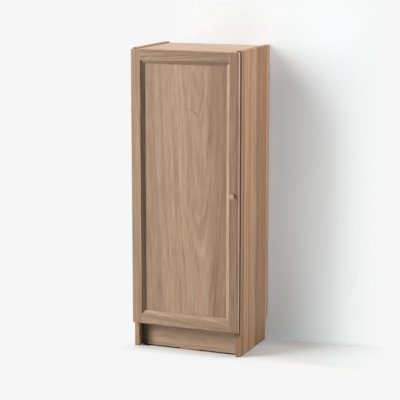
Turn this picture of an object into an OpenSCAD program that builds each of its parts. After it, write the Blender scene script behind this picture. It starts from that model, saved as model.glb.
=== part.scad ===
// Tall, narrow pantry cabinet in solid pine with one framed door.
// Millimetres. Origin: middle of the overall footprint, on the floor.
// +X is the right-hand side, -Y the front and +Z up.

/* [Carcass] */
// Overall width across the side panels
cabinet_w = 400; // [340:5:600]
// Overall height, from the floor to the upper ends of the side panels
cabinet_h = 1060; // [800:10:1300]
// Depth of the side panels, front edge to rear edge
carcass_d = 280; // [240:5:400]
// Thickness of the side panels
side_t = 18; // [16:1:22]
// Thickness of the top and bottom panels
deck_t = 18; // [17:1:22]
// How far the top panel lies below the upper ends of the side panels
top_drop = 4; // [0:1:12]
// Height of the bottom panel's underside above the floor
deck_z = 92; // [80:1:130]
// Radius of the eased edges of the boards
edge_r = 1.5; // [0.5:0.5:3]

/* [Plinth] */
// Distance of the plinth board behind the side panels' front edges
plinth_setback = 25; // [15:1:60]
// Thickness of the plinth board
plinth_t = 16; // [14:1:20]
// Space under the plinth board, beside its middle foot
plinth_lift = 4; // [2:1:10]
// Width of the plinth's middle foot, which reaches the floor
plinth_foot_w = 70; // [40:5:120]

/* [Skirting board cut-out] */
// Depth of the cut-out in the side panels' rear lower corners
skirting_d = 25; // [12:1:40]
// Height of the cut-out at the rear edge
skirting_h = 90; // [60:1:120]
// Drop of its slanted upper edge
skirting_slope = 30; // [10:1:45]

/* [Back panel] */
// Thickness of the hardboard back
back_t = 3; // [3:0.5:6]
// Distance of the back behind which the side panels run on
back_inset = 12; // [8:1:30]
// Depth of the grooves that hold the back
groove_d = 6; // [4:0.5:8]
// Play of the back in its grooves, on each face
groove_play = 0.2; // [0.1:0.1:0.5]

/* [Shelves] */
// Thickness of the shelves
shelf_t = 16; // [14:1:22]
// Distance of the shelves behind the side panels' front edges
shelf_setback = 12; // [8:1:40]
// Play of a shelf at each end and at the back
shelf_play = 0.8; // [0.5:0.1:2]
// Hole number, from below, that carries the lower shelf
lower_shelf_hole = 5; // [1:1:7]
// Hole number, from below, that carries the upper shelf
upper_shelf_hole = 14; // [9:1:16]
// Number of pin holes in each row
pin_holes = 17; // [16:1:18]
// Pitch of the pin holes
pin_pitch = 32; // [30:1:34]
// Diameter of the shelf pins
pin_d = 5; // [4:0.5:6]
// Distance of the pin rows from the side panels' front and rear edges
pin_inset = 37; // [32:1:60]

/* [Door] */
// Thickness of the door frame
door_t = 17; // [17:0.5:22]
// Gap between the door and the carcass
door_gap = 3; // [3:0.5:5]
// How far the door's edges lie inside the outer faces of the side panels
door_margin = 1.4; // [0.5:0.1:3]
// Height of the door's lower edge above the floor
door_z = 91; // [80:1:130]
// Width of the flat face of stiles and rails
frame_flat = 35; // [34:1:60]
// Width of the moulded inner edge of stiles and rails
mould_w = 12.5; // [10:0.5:18]
// Width of the moulding's steep outer part
mould_step_w = 3; // [2:0.5:4]
// Depth of the moulding's steep outer part
mould_step = 3.5; // [2:0.5:4.5]
// Width of the moulding's steep inner part
mould_foot = 3.5; // [2:0.5:5]
// Depth at which the inner part begins
mould_turn = 6.5; // [5:0.5:6.5]
// Depth of the moulding at the door panel
mould_d = 9; // [7:0.5:9]
// Depth of the door panel's face behind the frame's face
panel_recess = 10; // [9.5:0.5:10.5]
// Thickness of the door panel
panel_t = 5; // [4:0.5:6]
// Depth of the panel groove
panel_groove_d = 6; // [4:0.5:7]
// Radius of the door's outer front edges
door_edge_r = 2; // [1:0.5:3]
// Radius of the door's outer rear edges, which swing past the side panel
door_back_r = 3; // [3:0.5:4]

/* [Knob] */
// Largest diameter of the knob
knob_d = 17; // [15:0.5:35]
// Length of the knob in front of the door
knob_len = 22; // [18:1:40]
// Diameter of its foot on the door
knob_foot_d = 12; // [10:0.5:20]
// Diameter of its neck
knob_neck_d = 9; // [8:0.5:15]
// Height of the knob above the door's lower edge
knob_height = 480; // [300:10:700]

/* [Hinges] */
// Distance of the hinge centres from the door's upper and lower edges
hinge_end = 100; // [80:5:200]
// Diameter of the hinge cup
cup_d = 35; // [35:1:36]
// Depth of the hinge cup in the door
cup_depth = 11.8; // [11.4:0.2:12.6]
// Distance from the door's edge to the cup
cup_edge = 3.5; // [3.5:0.5:4.5]
// Wall of the pressed cup and of its flange
cup_wall = 0.8; // [0.6:0.1:1.2]
// Distance from the door's edge to the hinge pin
pin_edge = 8.5; // [8.5:0.1:9]
// Depth of the hinge pin behind the door's rear face
pin_depth = 8; // [7.8:0.1:8.2]
// Diameter of the hinge pin
hinge_pin_d = 2.5; // [2:0.5:3]
// Running clearance of the hinge pin, on the radius
hinge_play = 0.05; // [0.02:0.01:0.08]
// Width of the hinge arm's neck in the cup
arm_neck_w = 12; // [8:0.5:12]
// Thickness of the neck of the hinge arm
arm_neck_t = 2.4; // [2:0.1:2.8]
// Distance of the mounting plate's screws behind the side panel's front edge
plate_line = 37; // [28:1:45]

/* [Fittings] */
// Diameter of the cam locks
cam_d = 15; // [12:1:16]
// Distance from the end of a panel to the cam's axis
cam_reach = 24; // [20:1:34]
// Diameter of the carcass dowels
dowel_d = 8; // [6:1:9]
// Length of the carcass dowels
dowel_len = 30; // [24:1:40]
// Thickness of the glides under the side panels
glide_t = 2; // [1.5:0.5:4]
// Diameter of the glides
glide_d = 15; // [12:1:18]
// Diameter of the wall bracket's screw hole
bracket_hole_d = 6; // [4:0.5:8]

/* [Hidden] */
$fn = 48;
cut = 1;                      // how far cutting shapes run past a face
gap = 0.3;                    // space between neighbours that move apart

// overall places
half_w = cabinet_w / 2;
inner_w = cabinet_w - 2 * side_t;
overall_d = knob_len + door_t + door_gap + carcass_d;
front_y = knob_len + door_t + door_gap - overall_d / 2;   // side panels' front edges
rear_y = front_y + carcass_d;
back_front_y = rear_y - back_inset - back_t;               // inner face of the back
top_z = cabinet_h - top_drop;                              // top panel's upper face
ceiling_z = top_z - deck_t;
floor_z = deck_z + deck_t;                                 // bottom panel's upper face

// door frame
door_back_y = front_y - door_gap;
door_front_y = door_back_y - door_t;
door_half = half_w - door_margin;
door_top_z = top_z;
door_h = door_top_z - door_z;
frame_w = frame_flat + mould_w;
flat_x = door_half - frame_flat;                           // inner edge of the stiles' flats
opening_x = door_half - frame_w;                           // edge of the visible panel
panel_face_y = door_front_y + panel_recess;
panel_end_play = 0.5;
frame_dowel_d = 6;
frame_dowel_len = 40;
frame_dowel_pitch = 16;
frame_dowel_y = door_back_y - door_t * 0.45;
bumper_d = 8;
bumper_end = 25;                                           // from the door's upper and lower edges

// knob
knob_x = door_half - frame_flat / 2;
knob_z = door_z + knob_height;
knob_foot_t = 1.5;
knob_rim_r = 2;
knob_dome_r = 45;
knob_flare_len = 12;
knob_thread = 13;
knob_screw_d = 4;
knob_screw_head_d = 7.5;
knob_screw_head_t = 2.4;
knob_recess = 1.6;
knob_recess_d = 9;

// hinges
hinge_zs = [door_z + hinge_end, door_top_z - hinge_end];
hinge_x = -door_half + pin_edge;                           // axis on which the door turns
hinge_y = door_back_y - pin_depth;
cup_x = -door_half + cup_edge + cup_d / 2;
cup_play = 0.1;
cup_flange_t = 1.2;
cup_rim = 2;                                               // flange beyond the cup's wall
cup_boss_r = 6;
cup_screw_pitch = 48;
cup_screw_dx = 6;                                          // screws lie towards the door's middle
cup_screw_len = 11;
cup_screw_head_d = 6.5;
cup_screw_head_t = 1.4;
knuckle_wall = 1.3;
arm_reach = 16;
arm_x = hinge_x + arm_reach;                               // middle of the arm's neck leg
arm_bend_r = 5;
arm_skirt = 4;
arm_web_t = 1.5;
arm_lap = 2;                                               // channel ahead of the ridge
ridge_w = 10;
ridge_t = arm_x - arm_neck_t / 2 + half_w - side_t;        // from the side panel to the arm's web
ridge_front = 16;                                          // ends of the ridge and the arm's channel,
ridge_rear = 58;                                           // behind the side panel's front edge
arm_w = ridge_w + 2 * arm_web_t + 0.4;
arm_screw_d = 3.5;
arm_screw_len = 5;
arm_screw_head_d = 6.5;
arm_screw_head_t = 1.8;
arm_screw_front = 26;
arm_screw_pitch = 22;
arm_screw_ys = [front_y + arm_screw_front, front_y + arm_screw_front + arm_screw_pitch];
plate_screw_pitch = 32;
plate_screw_len = 13;
plate_wing_t = 2;
plate_wing_r = 7;

// shelves
pin_row_ys = [front_y + pin_inset, rear_y - back_inset - pin_inset];
pin_first_h = 160;                                         // lowest pins above the bottom panel
pin_first_z = floor_z + pin_first_h;
pin_hole_len = 10;
pin_collar_d = pin_d + 3;
pin_collar_t = 1;
pin_reach = 8;
pin_end_play = 1;                                          // between a pin and its hole's end

// fittings
screw_d = 3.5;
screw_head_d = 7;
screw_head_t = 2;
bolt_d = 7;
bolt_thread_len = 11;
bolt_shaft_d = 5;
bolt_bore_d = 8;
bolt_head_t = 3;
cam_h = 12.5;
cam_play = 0.1;
bolt_line = deck_t / 2;                                    // bolts and dowels, above a deck's underside
bolt_front = 50;                                           // from the side panel's front edge
bolt_rear = 60;                                            // from its rear edge
dowel_front = 85;
dowel_rear = 95;
bolt_ys = [front_y + bolt_front, rear_y - bolt_rear];
dowel_ys = [front_y + dowel_front, rear_y - dowel_rear];
dowel_in_side = 12;
dowel_x = inner_w / 2 + dowel_in_side - dowel_len;         // inner end of the right-hand dowels
plinth_dowel_y = front_y + plinth_setback + plinth_t / 2;
plinth_dowel_z = deck_z / 2;
bracket_t = 2;
bracket_w = 22;
bracket_leg = 30;
bracket_top_leg = 26;
bracket_hole_drop = 20;                                    // below the ceiling
bracket_hole_z = ceiling_z - bracket_hole_drop;
bracket_screw_len = 14;
bracket_screw_in = 18;                                     // ahead of the back panel
bracket_screw_y = back_front_y - bracket_screw_in;
back_hole_play = 2;
back_hole_d = bracket_hole_d + back_hole_play;
glide_front = 14;
glide_rear = 18;                                           // ahead of the skirting board cut-out
glide_ys = [front_y + glide_front, rear_y - skirting_d - glide_rear];
glide_edge = 0.5;
nail_d = 2;
nail_len = 10;

pine = [0.72, 0.58, 0.46];
pine_light = [0.78, 0.64, 0.52];
pine_dark = [0.66, 0.52, 0.40];
steel = [0.72, 0.72, 0.74];

// ---------- shared shapes ----------

// Rectangle from the origin with all four corners rounded.
module eased_square(w, h, r) {
    translate([r, 0]) square([w - 2 * r, h]);
    translate([0, r]) square([w, h - 2 * r]);
    for (x = [r, w - r], y = [r, h - r])
        translate([x, y]) circle(r);
}

// Section in the YZ plane, run along X from x0 to x1.
module along_x(x0, x1) {
    translate([x0, 0, 0]) rotate([90, 0, 90]) linear_extrude(x1 - x0) children();
}

// Section in the XZ plane, run along Y from y0 to y1.
module along_y(y0, y1) {
    translate([0, y1, 0]) rotate([90, 0, 0]) linear_extrude(y1 - y0) children();
}

// Round bar or bore along X or Y, starting at the given point.
module rod_x(at, len, d) { translate(at) rotate([0, 90, 0]) cylinder(h = len, d = d); }
module rod_y(at, len, d) { translate(at) rotate([-90, 0, 0]) cylinder(h = len, d = d); }

// Countersunk screw whose head lies in the plane z = 0 and whose shank points to -Z.
module countersunk_screw(len) {
    difference() {
        union() {
            translate([0, 0, -len]) cylinder(h = len, d = screw_d);
            translate([0, 0, -screw_head_t]) cylinder(h = screw_head_t, d1 = screw_d, d2 = screw_head_d);
        }
        cross_recess(screw_head_d * 0.6, 1.2);
    }
}

// Cross-shaped driver recess cut down from z = 0.
module cross_recess(w, depth) {
    slot = 0.9;
    for (turn = [0, 90])
        rotate([0, 0, turn]) translate([-w / 2, -slot / 2, -depth]) cube([w, slot, depth + cut]);
}

module mirror_if(flip) {
    if (flip) mirror([1, 0, 0]) children();
    else children();
}

// ---------- carcass ----------

// Outline of a side panel seen from the side, with the skirting board cut-out.
module side_outline() {
    polygon([[front_y, glide_t], [front_y, cabinet_h], [rear_y, cabinet_h],
        [rear_y, skirting_h], [rear_y - skirting_d, skirting_h - skirting_slope],
        [rear_y - skirting_d, glide_t]]);
}

// Right-hand side panel without its hinge holes.
module side_board() {
    difference() {
        intersection() {
            along_x(half_w - side_t, half_w) side_outline();
            translate([half_w - side_t, front_y, 0])
                linear_extrude(cabinet_h + cut) eased_square(side_t, carcass_d, edge_r);
            along_y(front_y - cut, rear_y + cut)
                translate([half_w - side_t, -2 * edge_r])
                    eased_square(side_t, cabinet_h + 2 * edge_r, edge_r);
        }
        // groove for the back
        translate([half_w - side_t - cut, back_front_y - groove_play, floor_z - groove_d])
            cube([groove_d + cut, back_t + 2 * groove_play, ceiling_z - floor_z + 2 * groove_d]);
        // rows of shelf pin holes
        for (y = pin_row_ys, n = [0 : pin_holes - 1])
            rod_x([half_w - side_t - cut, y, pin_first_z + n * pin_pitch], pin_hole_len + cut, pin_d);
        // cam bolts and dowels of the top and bottom panels
        for (z = [deck_z, ceiling_z]) {
            for (y = bolt_ys)
                rod_x([half_w - side_t - cut, y, z + bolt_line], bolt_thread_len + cut, bolt_d);
            for (y = dowel_ys)
                rod_x([half_w - side_t - cut, y, z + bolt_line], dowel_in_side + cut, dowel_d);
        }
        // dowel of the plinth
        rod_x([half_w - side_t - cut, plinth_dowel_y, plinth_dowel_z], dowel_in_side + cut, dowel_d);
        // nails of the glides
        for (y = glide_ys)
            translate([half_w - side_t / 2, y, glide_t - cut]) cylinder(h = nail_len + cut, d = nail_d);
    }
}

module right_side_panel() {
    color(pine) side_board();
}

module left_side_panel() {
    color(pine) difference() {
        mirror([1, 0, 0]) side_board();
        for (z = hinge_zs, dz = [-0.5, 0.5])
            rod_x([-half_w + side_t - plate_screw_len, front_y + plate_line, z + dz * plate_screw_pitch],
                plate_screw_len + cut, screw_d);
    }
}

// Board between the side panels with bores for its bolts, cams and dowels.
module deck_board(z) {
    difference() {
        along_x(-inner_w / 2, inner_w / 2)
            translate([front_y, z]) eased_square(carcass_d, deck_t, edge_r);
        for (side = [0, 1]) mirror_if(side == 1) {
            for (y = bolt_ys) {
                rod_x([inner_w / 2 - cam_reach, y, z + bolt_line], cam_reach + cut, bolt_bore_d);
                translate([inner_w / 2 - cam_reach, y, z - cut])
                    cylinder(h = cam_h + gap + cut, d = cam_d);
            }
            for (y = dowel_ys)
                rod_x([dowel_x, y, z + bolt_line],
                    dowel_len, dowel_d);
        }
    }
}

module back_groove(z) {
    translate([-inner_w / 2 - cut, back_front_y - groove_play, z])
        cube([inner_w + 2 * cut, back_t + 2 * groove_play, groove_d + cut]);
}

module top_panel() {
    color(pine_light) difference() {
        deck_board(ceiling_z);
        back_groove(ceiling_z - cut);
        translate([0, bracket_screw_y, ceiling_z - cut])
            cylinder(h = bracket_screw_len, d = screw_d);
    }
}

module bottom_panel() {
    color(pine) difference() {
        deck_board(deck_z);
        back_groove(floor_z - groove_d);
    }
}

// Board under the bottom panel; only its middle foot reaches the floor.
module plinth() {
    y0 = front_y + plinth_setback;
    color(pine_dark) difference() {
        translate([-inner_w / 2, y0, 0]) cube([inner_w, plinth_t, deck_z]);
        for (side = [0, 1]) mirror_if(side == 1) {
            translate([plinth_foot_w / 2, y0 - cut, -cut])
                cube([inner_w / 2, plinth_t + 2 * cut, plinth_lift + cut]);
            rod_x([dowel_x, plinth_dowel_y, plinth_dowel_z],
                dowel_len, dowel_d);
        }
    }
}

module back_panel() {
    edge = groove_d - groove_play;
    color([0.80, 0.72, 0.62]) difference() {
        translate([-inner_w / 2 - edge, back_front_y, floor_z - edge])
            cube([inner_w + 2 * edge, back_t, ceiling_z - floor_z + 2 * edge]);
        rod_y([0, back_front_y - cut, bracket_hole_z], back_t + 2 * cut, back_hole_d);
    }
}

// Cam bolt screwed into the right-hand side panel, its head in the cam.
module cam_bolt() {
    rod_x([inner_w / 2, 0, 0], bolt_thread_len, bolt_d);
    rod_x([inner_w / 2 - cam_reach, 0, 0], cam_reach, bolt_shaft_d);
    rod_x([inner_w / 2 - cam_reach - bolt_head_t / 2, 0, 0], bolt_head_t, bolt_d);
}

module cam_bolts() {
    color(steel) for (z = [deck_z, ceiling_z], y = bolt_ys, side = [0, 1])
        translate([0, y, z + bolt_line]) mirror_if(side == 1) cam_bolt();
}

module cam_lock() {
    difference() {
        cylinder(h = cam_h, d = cam_d - 2 * cam_play);
        rod_x([-bolt_bore_d / 2, 0, bolt_line - gap], cam_d, bolt_bore_d);
        rotate([180, 0, 0]) cross_recess(8, 2);
    }
}

module cam_locks() {
    color(steel) for (z = [deck_z, ceiling_z], y = bolt_ys, side = [0, 1])
        mirror_if(side == 1) translate([inner_w / 2 - cam_reach, y, z + gap]) cam_lock();
}

module carcass_dowels() {
    color(pine_light) for (side = [0, 1]) mirror_if(side == 1) {
        for (z = [deck_z, ceiling_z], y = dowel_ys)
            rod_x([dowel_x, y, z + bolt_line], dowel_len, dowel_d);
        rod_x([dowel_x, plinth_dowel_y, plinth_dowel_z], dowel_len, dowel_d);
    }
}

// Nailed plastic glides under both side panels.
module glides() {
    color([0.55, 0.54, 0.52]) for (x = [-1, 1], y = glide_ys)
        translate([x * (half_w - side_t / 2), y, 0]) {
            rotate_extrude() {
                square([glide_d / 2 - glide_edge, glide_t]);
                translate([0, glide_edge]) square([glide_d / 2, glide_t - glide_edge]);
            }
            translate([0, 0, glide_t]) cylinder(h = nail_len, d = nail_d);
        }
}

// Angle bracket under the top panel, for the screw that holds the cabinet to the wall.
module wall_bracket() {
    color(steel) difference() {
        union() {
            translate([-bracket_w / 2, back_front_y - bracket_t, ceiling_z - bracket_leg])
                cube([bracket_w, bracket_t, bracket_leg]);
            translate([-bracket_w / 2, back_front_y - bracket_top_leg, ceiling_z - bracket_t])
                cube([bracket_w, bracket_top_leg, bracket_t]);
        }
        rod_y([0, back_front_y - bracket_t - cut, bracket_hole_z], bracket_t + 2 * cut, bracket_hole_d);
        translate([0, bracket_screw_y, ceiling_z - bracket_t - cut])
            cylinder(h = bracket_t + 2 * cut, d = screw_d);
        translate([0, bracket_screw_y, ceiling_z - bracket_t])
            cylinder(h = screw_head_t, d1 = screw_head_d, d2 = screw_d);
    }
}

module wall_bracket_screw() {
    color(steel) translate([0, bracket_screw_y, ceiling_z - bracket_t])
        rotate([180, 0, 0]) countersunk_screw(bracket_screw_len);
}

// ---------- hinges: the cabinet's half ----------

// Mounting plate on the left side panel, with a ridge that carries the arm.
module mounting_plate(z) {
    y0 = front_y + plate_line;
    color(steel) translate([-half_w + side_t, 0, z]) difference() {
        union() {
            translate([0, front_y + ridge_front, -ridge_w / 2])
                cube([ridge_t, ridge_rear - ridge_front, ridge_w]);
            for (dz = [-0.5, 0.5])
                rod_x([0, y0, dz * plate_screw_pitch], plate_wing_t, 2 * plate_wing_r);
            translate([0, y0 - plate_wing_r, -plate_screw_pitch / 2])
                cube([plate_wing_t, 2 * plate_wing_r, plate_screw_pitch]);
        }
        for (dz = [-0.5, 0.5]) {
            rod_x([-cut, y0, dz * plate_screw_pitch], plate_wing_t + 2 * cut, screw_d);
            translate([plate_wing_t - screw_head_t, y0, dz * plate_screw_pitch]) rotate([0, 90, 0])
                cylinder(h = screw_head_t, d1 = screw_d, d2 = screw_head_d);
        }
        for (y = arm_screw_ys)
            rod_x([ridge_t - arm_screw_len, y, 0], arm_screw_len + cut, arm_screw_d);
    }
}

module upper_mounting_plate() { mounting_plate(hinge_zs[1]); }
module lower_mounting_plate() { mounting_plate(hinge_zs[0]); }

module mounting_plate_screws() {
    color(steel) for (z = hinge_zs, dz = [-0.5, 0.5])
        translate([-half_w + side_t + plate_wing_t, front_y + plate_line, z + dz * plate_screw_pitch])
            rotate([0, 90, 0]) countersunk_screw(plate_screw_len + plate_wing_t);
}

// Goosenecked arm: a knuckle on the pin, a neck out of the cup and a channel on the ridge.
module hinge_arm(z) {
    x_in = arm_x - arm_neck_t / 2;
    x_out = arm_x + arm_neck_t / 2;
    channel_y = front_y + ridge_front - arm_lap;
    color(steel) difference() {
        translate([0, 0, z]) {
            translate([hinge_x, hinge_y, -arm_neck_w / 2])
                cylinder(h = arm_neck_w, d = hinge_pin_d + 2 * knuckle_wall);
            translate([0, 0, -arm_neck_w / 2]) linear_extrude(arm_neck_w) {
                translate([hinge_x, hinge_y - arm_neck_t / 2])
                    square([x_out - arm_bend_r - hinge_x, arm_neck_t]);
                translate([x_in, hinge_y - arm_neck_t / 2 + arm_bend_r])
                    square([arm_neck_t, channel_y + 2 * arm_lap - hinge_y + arm_neck_t / 2 - arm_bend_r]);
                translate([x_out - arm_bend_r, hinge_y - arm_neck_t / 2 + arm_bend_r])
                    intersection() {
                        difference() {
                            circle(arm_bend_r);
                            circle(arm_bend_r - arm_neck_t);
                        }
                        translate([0, -arm_bend_r]) square(arm_bend_r);
                    }
            }
            // channel over the mounting plate's ridge
            translate([x_in, channel_y, -arm_w / 2])
                cube([arm_web_t, front_y + ridge_rear - channel_y, arm_w]);
            for (dz = [-arm_w / 2, arm_w / 2 - arm_web_t])
                translate([x_in - arm_skirt, channel_y, dz])
                    cube([arm_skirt + arm_web_t, front_y + ridge_rear - channel_y, arm_web_t]);
        }
        translate([hinge_x, hinge_y, z - arm_w])
            cylinder(h = 2 * arm_w, d = hinge_pin_d + 2 * hinge_play);
        for (y = arm_screw_ys)
            rod_x([x_in - cut, y, z], arm_web_t + 2 * cut, arm_screw_d);
    }
}

module upper_hinge_arm() { hinge_arm(hinge_zs[1]); }
module lower_hinge_arm() { hinge_arm(hinge_zs[0]); }

// Screws that hold the arms on the mounting plates and set the door's height and gap.
module arm_fixing_screws() {
    x0 = arm_x - arm_neck_t / 2;
    color(steel) for (z = hinge_zs, y = arm_screw_ys)
        translate([x0, y, z]) rotate([0, 90, 0]) difference() {
            union() {
                translate([0, 0, -arm_screw_len]) cylinder(h = arm_screw_len + arm_web_t, d = arm_screw_d);
                translate([0, 0, arm_web_t]) cylinder(h = arm_screw_head_t, d = arm_screw_head_d);
            }
            translate([0, 0, arm_web_t + arm_screw_head_t])
                cross_recess(arm_screw_head_d * 0.7, arm_screw_head_t * 2 / 3);
        }
}

// ---------- shelves ----------

function pin_z(hole) = pin_first_z + (hole - 1) * pin_pitch;
function shelf_z(hole) = pin_z(hole) + pin_d / 2 + gap;

module shelf_pins(hole) {
    color(steel) for (y = pin_row_ys, side = [0, 1]) mirror_if(side == 1)
        translate([inner_w / 2, y, pin_z(hole)]) {
            rod_x([-pin_reach, 0, 0], pin_reach + pin_hole_len - pin_end_play, pin_d);
            rod_x([-pin_collar_t, 0, 0], pin_collar_t, pin_collar_d);
        }
}

module lower_shelf_pins() { shelf_pins(lower_shelf_hole); }
module upper_shelf_pins() { shelf_pins(upper_shelf_hole); }

// Loose board on four pins, short enough to pass between the pins' collars.
module shelf(hole) {
    color(pine_light) along_x(-inner_w / 2 + pin_collar_t + shelf_play / 2,
            inner_w / 2 - pin_collar_t - shelf_play / 2)
        translate([front_y + shelf_setback, shelf_z(hole)])
            eased_square(back_front_y - shelf_play - front_y - shelf_setback, shelf_t, edge_r);
}

module lower_shelf() { shelf(lower_shelf_hole); }
module upper_shelf() { shelf(upper_shelf_hole); }

// ---------- door ----------

// Section of a stile or rail: x from the outer edge inwards, y from the face to the rear.
module frame_section() {
    groove_y = panel_recess - groove_play;
    groove_w = panel_t + 2 * groove_play;
    intersection() {
        polygon([[0, 0], [frame_flat, 0], [frame_flat + mould_step_w, mould_step],
            [frame_w - mould_foot, mould_turn], [frame_w, mould_d],
            [frame_w, groove_y], [frame_w - panel_groove_d, groove_y],
            [frame_w - panel_groove_d, groove_y + groove_w],
            [frame_w, groove_y + groove_w], [frame_w, door_t], [0, door_t]]);
        outer_rounding(frame_w);
    }
}

// Board of the door's thickness whose edge at x = 0 is rounded in front and at the rear.
module outer_rounding(len) {
    translate([door_back_r, 0]) square([len, door_t]);
    translate([0, door_edge_r]) square([door_back_r, door_t - door_edge_r - door_back_r]);
    translate([door_back_r, door_t - door_back_r]) circle(door_back_r);
    translate([door_edge_r, 0]) square([door_back_r, door_edge_r]);
    translate([door_edge_r, door_edge_r]) circle(door_edge_r);
}

// Full-height right-hand stile; its moulding is mitred to the rails'.
module stile() {
    difference() {
        intersection() {
            translate([door_half, door_front_y, door_z]) mirror([1, 0, 0])
                linear_extrude(door_h) frame_section();
            for_both_ends() along_x(0, half_w)
                translate([door_front_y, door_z]) mirror([1, -1, 0]) outer_rounding(door_h);
        }
        for (upper = [0, 1]) flip_ends(upper == 1)
            along_y(door_front_y - cut, door_back_y + cut)
                polygon([[0, door_z - cut], [flat_x, door_z - cut], [flat_x, door_z + frame_flat],
                    [opening_x - cut, door_z + frame_w + cut], [0, door_z + frame_w + cut]]);
        frame_dowel_bores();
    }
}

// What the shape at the door's lower end and its copy at the upper end have in common.
module for_both_ends() {
    intersection() {
        children();
        flip_ends(true) children();
    }
}

// Turns a shape at the door's lower end over to its upper end.
module flip_ends(flip) {
    if (flip) translate([0, 0, door_z + door_top_z]) mirror([0, 0, 1]) children();
    else children();
}

module frame_dowel(d) {
    for (dz = [-0.5, 0.5])
        rod_x([flat_x - frame_dowel_len / 2, frame_dowel_y,
            door_z + frame_flat / 2 + dz * frame_dowel_pitch], frame_dowel_len, d);
}

module frame_dowel_bores() {
    for (upper = [0, 1], side = [0, 1])
        flip_ends(upper == 1) mirror_if(side == 1) frame_dowel(frame_dowel_d);
}

module door_right_stile() {
    color(pine) difference() {
        stile();
        rod_y([knob_x, door_front_y - cut, knob_z], door_t + 2 * cut, knob_screw_d);
        rod_y([knob_x, door_back_y - knob_recess, knob_z], knob_recess + cut, knob_recess_d);
    }
}

module door_left_stile() {
    color(pine) difference() {
        mirror([1, 0, 0]) stile();
        for (z = hinge_zs) {
            rod_y([cup_x, door_back_y - cup_depth - gap, z], cup_depth + gap + cut, cup_d);
            for (dz = [-0.5, 0.5])
                rod_y([cup_x + cup_screw_dx, door_back_y - cup_screw_len, z + dz * cup_screw_pitch],
                    cup_screw_len + cut, screw_d);
        }
    }
}

// Lower rail between the stiles, mitred where its moulding meets theirs.
module rail() {
    difference() {
        translate([-flat_x, door_front_y, door_z]) rotate([90, 0, 90])
            linear_extrude(2 * flat_x) mirror([1, -1, 0]) frame_section();
        for (side = [0, 1]) mirror_if(side == 1)
            along_y(door_front_y - cut, door_back_y + cut)
                polygon([[flat_x, door_z + frame_flat], [flat_x + cut, door_z + frame_flat],
                    [flat_x + cut, door_z + frame_w + cut],
                    [opening_x - cut, door_z + frame_w + cut]]);
        frame_dowel_bores();
    }
}

module door_bottom_rail() { color(pine) rail(); }
module door_top_rail() { color(pine) flip_ends(true) rail(); }

// Flat panel held in the frame's groove.
module door_panel() {
    edge = panel_groove_d - panel_end_play;
    color(pine_light)
        translate([-opening_x - edge, panel_face_y, door_z + frame_w - edge])
            cube([2 * (opening_x + edge), panel_t, door_h - 2 * frame_w + 2 * edge]);
}

module door_frame_dowels() {
    color(pine_light) frame_dowel_bores();
}

// ---------- hinges: the door's half ----------

// Pressed cup, open to the rear, with a flange for two screws.
module hinge_cup(z) {
    outer = cup_d - 2 * cup_play;
    color(steel) translate([cup_x, 0, z]) difference() {
        union() {
            rod_y([0, door_back_y - cup_depth, 0], cup_depth + cup_flange_t, outer);
            intersection() {
                union() {
                    for (dz = [-0.5, 0.5])
                        rod_y([cup_screw_dx, door_back_y, dz * cup_screw_pitch],
                            cup_flange_t, 2 * cup_boss_r);
                    translate([cup_screw_dx - cup_boss_r, door_back_y, -cup_screw_pitch / 2])
                        cube([2 * cup_boss_r, cup_flange_t, cup_screw_pitch]);
                    rod_y([0, door_back_y, 0], cup_flange_t, cup_d + 2 * cup_rim);
                }
                translate([-outer / 2, door_back_y - cut, -cup_screw_pitch])
                    cube([cup_d + 2 * cup_rim, cup_flange_t + 2 * cut, 2 * cup_screw_pitch]);
            }
        }
        rod_y([0, door_back_y - cup_depth + cup_wall, 0], cup_depth + cup_flange_t + cut,
            outer - 2 * cup_wall);
        for (dz = [-0.5, 0.5])
            rod_y([cup_screw_dx, door_back_y - cut, dz * cup_screw_pitch], cup_flange_t + 2 * cut, screw_d);
        translate([hinge_x - cup_x, hinge_y, -cup_d / 2]) cylinder(h = cup_d, d = hinge_pin_d);
    }
}

module upper_hinge_cup() { hinge_cup(hinge_zs[1]); }
module lower_hinge_cup() { hinge_cup(hinge_zs[0]); }

// Pins riveted flush in the walls of the cups.
module hinge_pins() {
    color([0.6, 0.6, 0.62]) for (z = hinge_zs) intersection() {
        translate([hinge_x, hinge_y, z - cup_d / 2]) cylinder(h = cup_d, d = hinge_pin_d);
        rod_y([cup_x, door_back_y - cup_depth, z], cup_depth, cup_d - 2 * cup_play);
    }
}

module hinge_cup_screws() {
    color(steel) for (z = hinge_zs, dz = [-0.5, 0.5])
        translate([cup_x + cup_screw_dx, door_back_y + cup_flange_t, z + dz * cup_screw_pitch])
            rotate([-90, 0, 0]) difference() {
                union() {
                    translate([0, 0, -cup_screw_len - cup_flange_t])
                        cylinder(h = cup_screw_len + cup_flange_t, d = screw_d);
                    cylinder(h = cup_screw_head_t, d1 = cup_screw_head_d, d2 = cup_screw_head_d * 0.75);
                }
                translate([0, 0, cup_screw_head_t])
                    cross_recess(cup_screw_head_d * 0.6, cup_screw_head_t * 0.7);
            }
}

// Soft pads that the closed door meets the right-hand side panel with.
module door_bumpers() {
    color([0.85, 0.84, 0.80]) for (z = [door_z + bumper_end, door_top_z - bumper_end])
        rod_y([half_w - side_t / 2, door_back_y, z], door_gap - gap, bumper_d);
}

// ---------- knob ----------

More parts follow.
